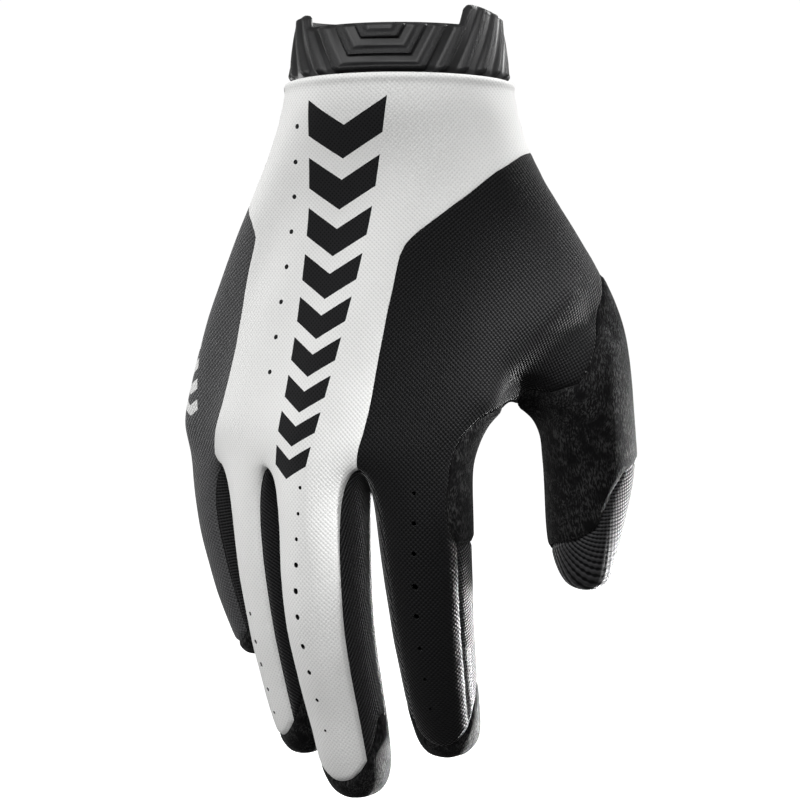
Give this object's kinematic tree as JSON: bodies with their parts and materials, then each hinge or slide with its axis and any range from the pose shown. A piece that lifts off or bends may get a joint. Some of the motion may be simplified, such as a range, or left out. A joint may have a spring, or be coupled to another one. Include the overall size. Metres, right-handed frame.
{
  "type": "motocross glove",
  "caption": "Right-hand riding glove in its worn form: moulded slip-on cuff, knit back, knit gussets and suede palm, hollow for a hand.",
  "frame": {"origin": "middle of the wrist opening, 4 mm above the cuff's top edge on the back of the hand", "axes": "+Z from the fingers to the wrist, -Y out of the back of the hand, +X to the thumb side"},
  "size_m": [0.131, 0.0755, 0.2225],
  "materials": {
    "cuff_rubber": "moulded black rubber, satin, with raised chevrons and ribs",
    "white_knit": "white sports knit with a fine regular mesh",
    "black_knit": "black sports knit with a fine regular mesh",
    "grey_knit": "dark rib knit with a soft sheen",
    "black_suede": "black microsuede with a brushed nap"
  },
  "bodies": {
    "root": {"wrist_cuff": "cuff_rubber", "back_panel": "white_knit", "index_panel": "black_knit", "outer_panel": "black_knit", "gusset_little_ring": "grey_knit", "gusset_ring_middle": "grey_knit", "gusset_middle_index": "grey_knit", "index_side_strip": "grey_knit", "index_patch": "black_suede", "palm_panel": "black_suede", "thumb_panel": "black_suede", "thumb_tip": "grey_knit"}
  },
  "joints": []
}
